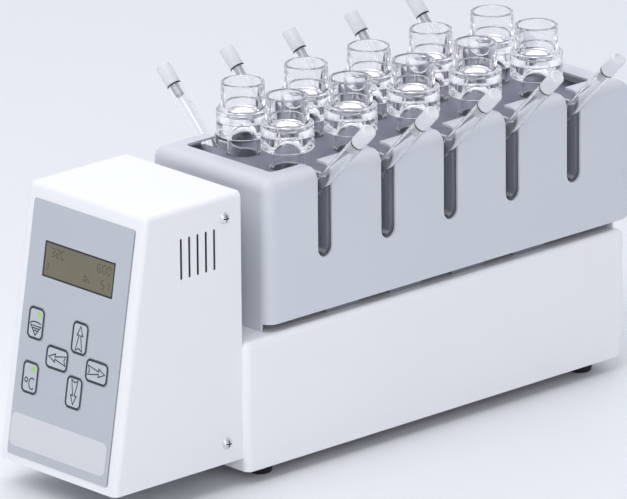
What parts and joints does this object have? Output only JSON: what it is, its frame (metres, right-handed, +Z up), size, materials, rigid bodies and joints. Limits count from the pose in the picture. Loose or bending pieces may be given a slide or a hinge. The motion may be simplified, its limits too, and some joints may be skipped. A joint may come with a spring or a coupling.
{
  "type": "vertical diffusion cell tester",
  "caption": "Bench tester with a sloping keypad box and a slotted dry heating block that holds two rows of stoppered glass diffusion cells with slanting sampling arms.",
  "frame": {"origin": "middle of the overall footprint, on the plane of the feet's undersides", "axes": "+Z up, +Y from the control box towards the far end of the trough, +X to the right of the control panel"},
  "size_m": [0.2028, 0.455, 0.238],
  "materials": {
    "base_paint": "satin powder coat on folded sheet steel",
    "plate_steel": "zinc-plated sheet",
    "foot_rubber": "moulded, matte",
    "coil_wire": "enamelled wire on moulded bobbins",
    "spacer_plastic": "machined insulating plastic",
    "block_aluminium": "anodised, with bright machined well edges",
    "trough_paint": "satin powder coat on folded sheet steel",
    "control_paint": "satin powder coat on folded sheet steel",
    "chassis_steel": "zinc-plated sheet",
    "overlay_film": "fine-textured polyester film",
    "display_module": "olive-grey liquid crystal behind a clear window",
    "inlet_plastic": "moulded thermoplastic",
    "screw_steel": "nickel-plated pan heads",
    "key_film": "embossed film with a dark outline",
    "switch_plastic": "moulded rocker",
    "cell_glass": "clear borosilicate with ground joint faces",
    "stopper_plastic": "translucent moulded plastic with a dark gasket",
    "bar_coating": "white fluoropolymer coating"
  },
  "bodies": {
    "root": {"base_cover": "base_paint", "base_plate": "plate_steel", "rubber_feet": "foot_rubber", "stirrer_coils": "coil_wire", "block_spacers": "spacer_plastic", "heating_block": "block_aluminium", "cell_trough": "trough_paint", "control_cover": "control_paint", "control_chassis": "chassis_steel", "keypad_overlay": "overlay_film", "display_board": "display_module", "power_inlet": "inlet_plastic", "cover_screws": "screw_steel"},
    "key_stir": {"key_stir": "key_film"},
    "key_temperature": {"key_temperature": "key_film"},
    "key_up": {"key_up": "key_film"},
    "key_down": {"key_down": "key_film"},
    "key_left": {"key_left": "key_film"},
    "key_right": {"key_right": "key_film"},
    "power_switch": {"power_switch": "switch_plastic"},
    "receptor_1": {"receptor_1": "cell_glass"},
    "donor_1": {"donor_1": "cell_glass"},
    "stopper_1": {"stopper_1": "stopper_plastic"},
    "stir_bar_1": {"stir_bar_1": "bar_coating"},
    "receptor_2": {"receptor_2": "cell_glass"},
    "donor_2": {"donor_2": "cell_glass"},
    "stopper_2": {"stopper_2": "stopper_plastic"},
    "stir_bar_2": {"stir_bar_2": "bar_coating"},
    "receptor_3": {"receptor_3": "cell_glass"},
    "donor_3": {"donor_3": "cell_glass"},
    "stopper_3": {"stopper_3": "stopper_plastic"},
    "stir_bar_3": {"stir_bar_3": "bar_coating"},
    "receptor_4": {"receptor_4": "cell_glass"},
    "donor_4": {"donor_4": "cell_glass"},
    "stopper_4": {"stopper_4": "stopper_plastic"},
    "stir_bar_4": {"stir_bar_4": "bar_coating"},
    "receptor_5": {"receptor_5": "cell_glass"},
    "donor_5": {"donor_5": "cell_glass"},
    "stopper_5": {"stopper_5": "stopper_plastic"},
    "stir_bar_5": {"stir_bar_5": "bar_coating"},
    "receptor_6": {"receptor_6": "cell_glass"},
    "donor_6": {"donor_6": "cell_glass"},
    "stopper_6": {"stopper_6": "stopper_plastic"},
    "stir_bar_6": {"stir_bar_6": "bar_coating"},
    "receptor_7": {"receptor_7": "cell_glass"},
    "donor_7": {"donor_7": "cell_glass"},
    "stopper_7": {"stopper_7": "stopper_plastic"},
    "stir_bar_7": {"stir_bar_7": "bar_coating"},
    "receptor_8": {"receptor_8": "cell_glass"},
    "donor_8": {"donor_8": "cell_glass"},
    "stopper_8": {"stopper_8": "stopper_plastic"},
    "stir_bar_8": {"stir_bar_8": "bar_coating"},
    "receptor_9": {"receptor_9": "cell_glass"},
    "donor_9": {"donor_9": "cell_glass"},
    "stopper_9": {"stopper_9": "stopper_plastic"},
    "stir_bar_9": {"stir_bar_9": "bar_coating"},
    "receptor_10": {"receptor_10": "cell_glass"},
    "donor_10": {"donor_10": "cell_glass"},
    "stopper_10": {"stopper_10": "stopper_plastic"},
    "stir_bar_10": {"stir_bar_10": "bar_coating"}
  },
  "joints": [
    {"name": "key_stir_press", "type": "slide", "parent": "root", "child": "key_stir", "axis": [0, 0.9863, -0.1648], "range_m": [0, 0.0005], "stiffness_N_per_m": 1200},
    {"name": "key_temperature_press", "type": "slide", "parent": "root", "child": "key_temperature", "axis": [0, 0.9863, -0.1648], "range_m": [0, 0.0005], "stiffness_N_per_m": 1200},
    {"name": "key_up_press", "type": "slide", "parent": "root", "child": "key_up", "axis": [0, 0.9863, -0.1648], "range_m": [0, 0.0005], "stiffness_N_per_m": 1200},
    {"name": "key_down_press", "type": "slide", "parent": "root", "child": "key_down", "axis": [0, 0.9863, -0.1648], "range_m": [0, 0.0005], "stiffness_N_per_m": 1200},
    {"name": "key_left_press", "type": "slide", "parent": "root", "child": "key_left", "axis": [0, 0.9863, -0.1648], "range_m": [0, 0.0005], "stiffness_N_per_m": 1200},
    {"name": "key_right_press", "type": "slide", "parent": "root", "child": "key_right", "axis": [0, 0.9863, -0.1648], "range_m": [0, 0.0005], "stiffness_N_per_m": 1200},
    {"name": "power_switch_rock", "type": "hinge", "parent": "root", "child": "power_switch", "pos_m": [-0.042, 0.2195, 0.056], "axis": [1, 0, 0], "range_deg": [0, 20]},
    {"name": "receptor_1_lift", "type": "slide", "parent": "root", "child": "receptor_1", "axis": [0, 0, 1], "range_m": [0, 0.08]},
    {"name": "donor_1_lift", "type": "slide", "parent": "receptor_1", "child": "donor_1", "axis": [0, 0, 1], "range_m": [0, 0.04]},
    {"name": "stopper_1_pull", "type": "slide", "parent": "receptor_1", "child": "stopper_1", "axis": [0.7071, 0, 0.7071], "range_m": [0, 0.03]},
    {"name": "stir_bar_1_spin", "type": "hinge", "parent": "receptor_1", "child": "stir_bar_1", "pos_m": [0.021, -0.0445, 0.1393], "axis": [0, 0, 1], "continuous": true},
    {"name": "receptor_2_lift", "type": "slide", "parent": "root", "child": "receptor_2", "axis": [0, 0, 1], "range_m": [0, 0.08]},
    {"name": "donor_2_lift", "type": "slide", "parent": "receptor_2", "child": "donor_2", "axis": [0, 0, 1], "range_m": [0, 0.04]},
    {"name": "stopper_2_pull", "type": "slide", "parent": "receptor_2", "child": "stopper_2", "axis": [0.7071, 0, 0.7071], "range_m": [0, 0.03]},
    {"name": "stir_bar_2_spin", "type": "hinge", "parent": "receptor_2", "child": "stir_bar_2", "pos_m": [0.021, 0.011, 0.1393], "axis": [0, 0, 1], "continuous": true},
    {"name": "receptor_3_lift", "type": "slide", "parent": "root", "child": "receptor_3", "axis": [0, 0, 1], "range_m": [0, 0.08]},
    {"name": "donor_3_lift", "type": "slide", "parent": "receptor_3", "child": "donor_3", "axis": [0, 0, 1], "range_m": [0, 0.04]},
    {"name": "stopper_3_pull", "type": "slide", "parent": "receptor_3", "child": "stopper_3", "axis": [0.7071, 0, 0.7071], "range_m": [0, 0.03]},
    {"name": "stir_bar_3_spin", "type": "hinge", "parent": "receptor_3", "child": "stir_bar_3", "pos_m": [0.021, 0.0665, 0.1393], "axis": [0, 0, 1], "continuous": true},
    {"name": "receptor_4_lift", "type": "slide", "parent": "root", "child": "receptor_4", "axis": [0, 0, 1], "range_m": [0, 0.08]},
    {"name": "donor_4_lift", "type": "slide", "parent": "receptor_4", "child": "donor_4", "axis": [0, 0, 1], "range_m": [0, 0.04]},
    {"name": "stopper_4_pull", "type": "slide", "parent": "receptor_4", "child": "stopper_4", "axis": [0.7071, 0, 0.7071], "range_m": [0, 0.03]},
    {"name": "stir_bar_4_spin", "type": "hinge", "parent": "receptor_4", "child": "stir_bar_4", "pos_m": [0.021, 0.122, 0.1393], "axis": [0, 0, 1], "continuous": true},
    {"name": "receptor_5_lift", "type": "slide", "parent": "root", "child": "receptor_5", "axis": [0, 0, 1], "range_m": [0, 0.08]},
    {"name": "donor_5_lift", "type": "slide", "parent": "receptor_5", "child": "donor_5", "axis": [0, 0, 1], "range_m": [0, 0.04]},
    {"name": "stopper_5_pull", "type": "slide", "parent": "receptor_5", "child": "stopper_5", "axis": [0.7071, 0, 0.7071], "range_m": [0, 0.03]},
    {"name": "stir_bar_5_spin", "type": "hinge", "parent": "receptor_5", "child": "stir_bar_5", "pos_m": [0.021, 0.1775, 0.1393], "axis": [0, 0, 1], "continuous": true},
    {"name": "receptor_6_lift", "type": "slide", "parent": "root", "child": "receptor_6", "axis": [0, 0, 1], "range_m": [0, 0.08]},
    {"name": "donor_6_lift", "type": "slide", "parent": "receptor_6", "child": "donor_6", "axis": [0, 0, 1], "range_m": [0, 0.04]},
    {"name": "stopper_6_pull", "type": "slide", "parent": "receptor_6", "child": "stopper_6", "axis": [-0.7071, 0, 0.7071], "range_m": [0, 0.03]},
    {"name": "stir_bar_6_spin", "type": "hinge", "parent": "receptor_6", "child": "stir_bar_6", "pos_m": [-0.021, -0.0445, 0.1393], "axis": [0, 0, 1], "continuous": true},
    {"name": "receptor_7_lift", "type": "slide", "parent": "root", "child": "receptor_7", "axis": [0, 0, 1], "range_m": [0, 0.08]},
    {"name": "donor_7_lift", "type": "slide", "parent": "receptor_7", "child": "donor_7", "axis": [0, 0, 1], "range_m": [0, 0.04]},
    {"name": "stopper_7_pull", "type": "slide", "parent": "receptor_7", "child": "stopper_7", "axis": [-0.7071, 0, 0.7071], "range_m": [0, 0.03]},
    {"name": "stir_bar_7_spin", "type": "hinge", "parent": "receptor_7", "child": "stir_bar_7", "pos_m": [-0.021, 0.011, 0.1393], "axis": [0, 0, 1], "continuous": true},
    {"name": "receptor_8_lift", "type": "slide", "parent": "root", "child": "receptor_8", "axis": [0, 0, 1], "range_m": [0, 0.08]},
    {"name": "donor_8_lift", "type": "slide", "parent": "receptor_8", "child": "donor_8", "axis": [0, 0, 1], "range_m": [0, 0.04]},
    {"name": "stopper_8_pull", "type": "slide", "parent": "receptor_8", "child": "stopper_8", "axis": [-0.7071, 0, 0.7071], "range_m": [0, 0.03]},
    {"name": "stir_bar_8_spin", "type": "hinge", "parent": "receptor_8", "child": "stir_bar_8", "pos_m": [-0.021, 0.0665, 0.1393], "axis": [0, 0, 1], "continuous": true},
    {"name": "receptor_9_lift", "type": "slide", "parent": "root", "child": "receptor_9", "axis": [0, 0, 1], "range_m": [0, 0.08]},
    {"name": "donor_9_lift", "type": "slide", "parent": "receptor_9", "child": "donor_9", "axis": [0, 0, 1], "range_m": [0, 0.04]},
    {"name": "stopper_9_pull", "type": "slide", "parent": "receptor_9", "child": "stopper_9", "axis": [-0.7071, 0, 0.7071], "range_m": [0, 0.03]},
    {"name": "stir_bar_9_spin", "type": "hinge", "parent": "receptor_9", "child": "stir_bar_9", "pos_m": [-0.021, 0.122, 0.1393], "axis": [0, 0, 1], "continuous": true},
    {"name": "receptor_10_lift", "type": "slide", "parent": "root", "child": "receptor_10", "axis": [0, 0, 1], "range_m": [0, 0.08]},
    {"name": "donor_10_lift", "type": "slide", "parent": "receptor_10", "child": "donor_10", "axis": [0, 0, 1], "range_m": [0, 0.04]},
    {"name": "stopper_10_pull", "type": "slide", "parent": "receptor_10", "child": "stopper_10", "axis": [-0.7071, 0, 0.7071], "range_m": [0, 0.03]},
    {"name": "stir_bar_10_spin", "type": "hinge", "parent": "receptor_10", "child": "stir_bar_10", "pos_m": [-0.021, 0.1775, 0.1393], "axis": [0, 0, 1], "continuous": true}
  ],
  "couplings": [
    {"joint": "stir_bar_2_spin", "follows": "stir_bar_1_spin", "ratio": 1},
    {"joint": "stir_bar_3_spin", "follows": "stir_bar_1_spin", "ratio": 1},
    {"joint": "stir_bar_4_spin", "follows": "stir_bar_1_spin", "ratio": 1},
    {"joint": "stir_bar_5_spin", "follows": "stir_bar_1_spin", "ratio": 1},
    {"joint": "stir_bar_6_spin", "follows": "stir_bar_1_spin", "ratio": 1},
    {"joint": "stir_bar_7_spin", "follows": "stir_bar_1_spin", "ratio": 1},
    {"joint": "stir_bar_8_spin", "follows": "stir_bar_1_spin", "ratio": 1},
    {"joint": "stir_bar_9_spin", "follows": "stir_bar_1_spin", "ratio": 1},
    {"joint": "stir_bar_10_spin", "follows": "stir_bar_1_spin", "ratio": 1}
  ]
}
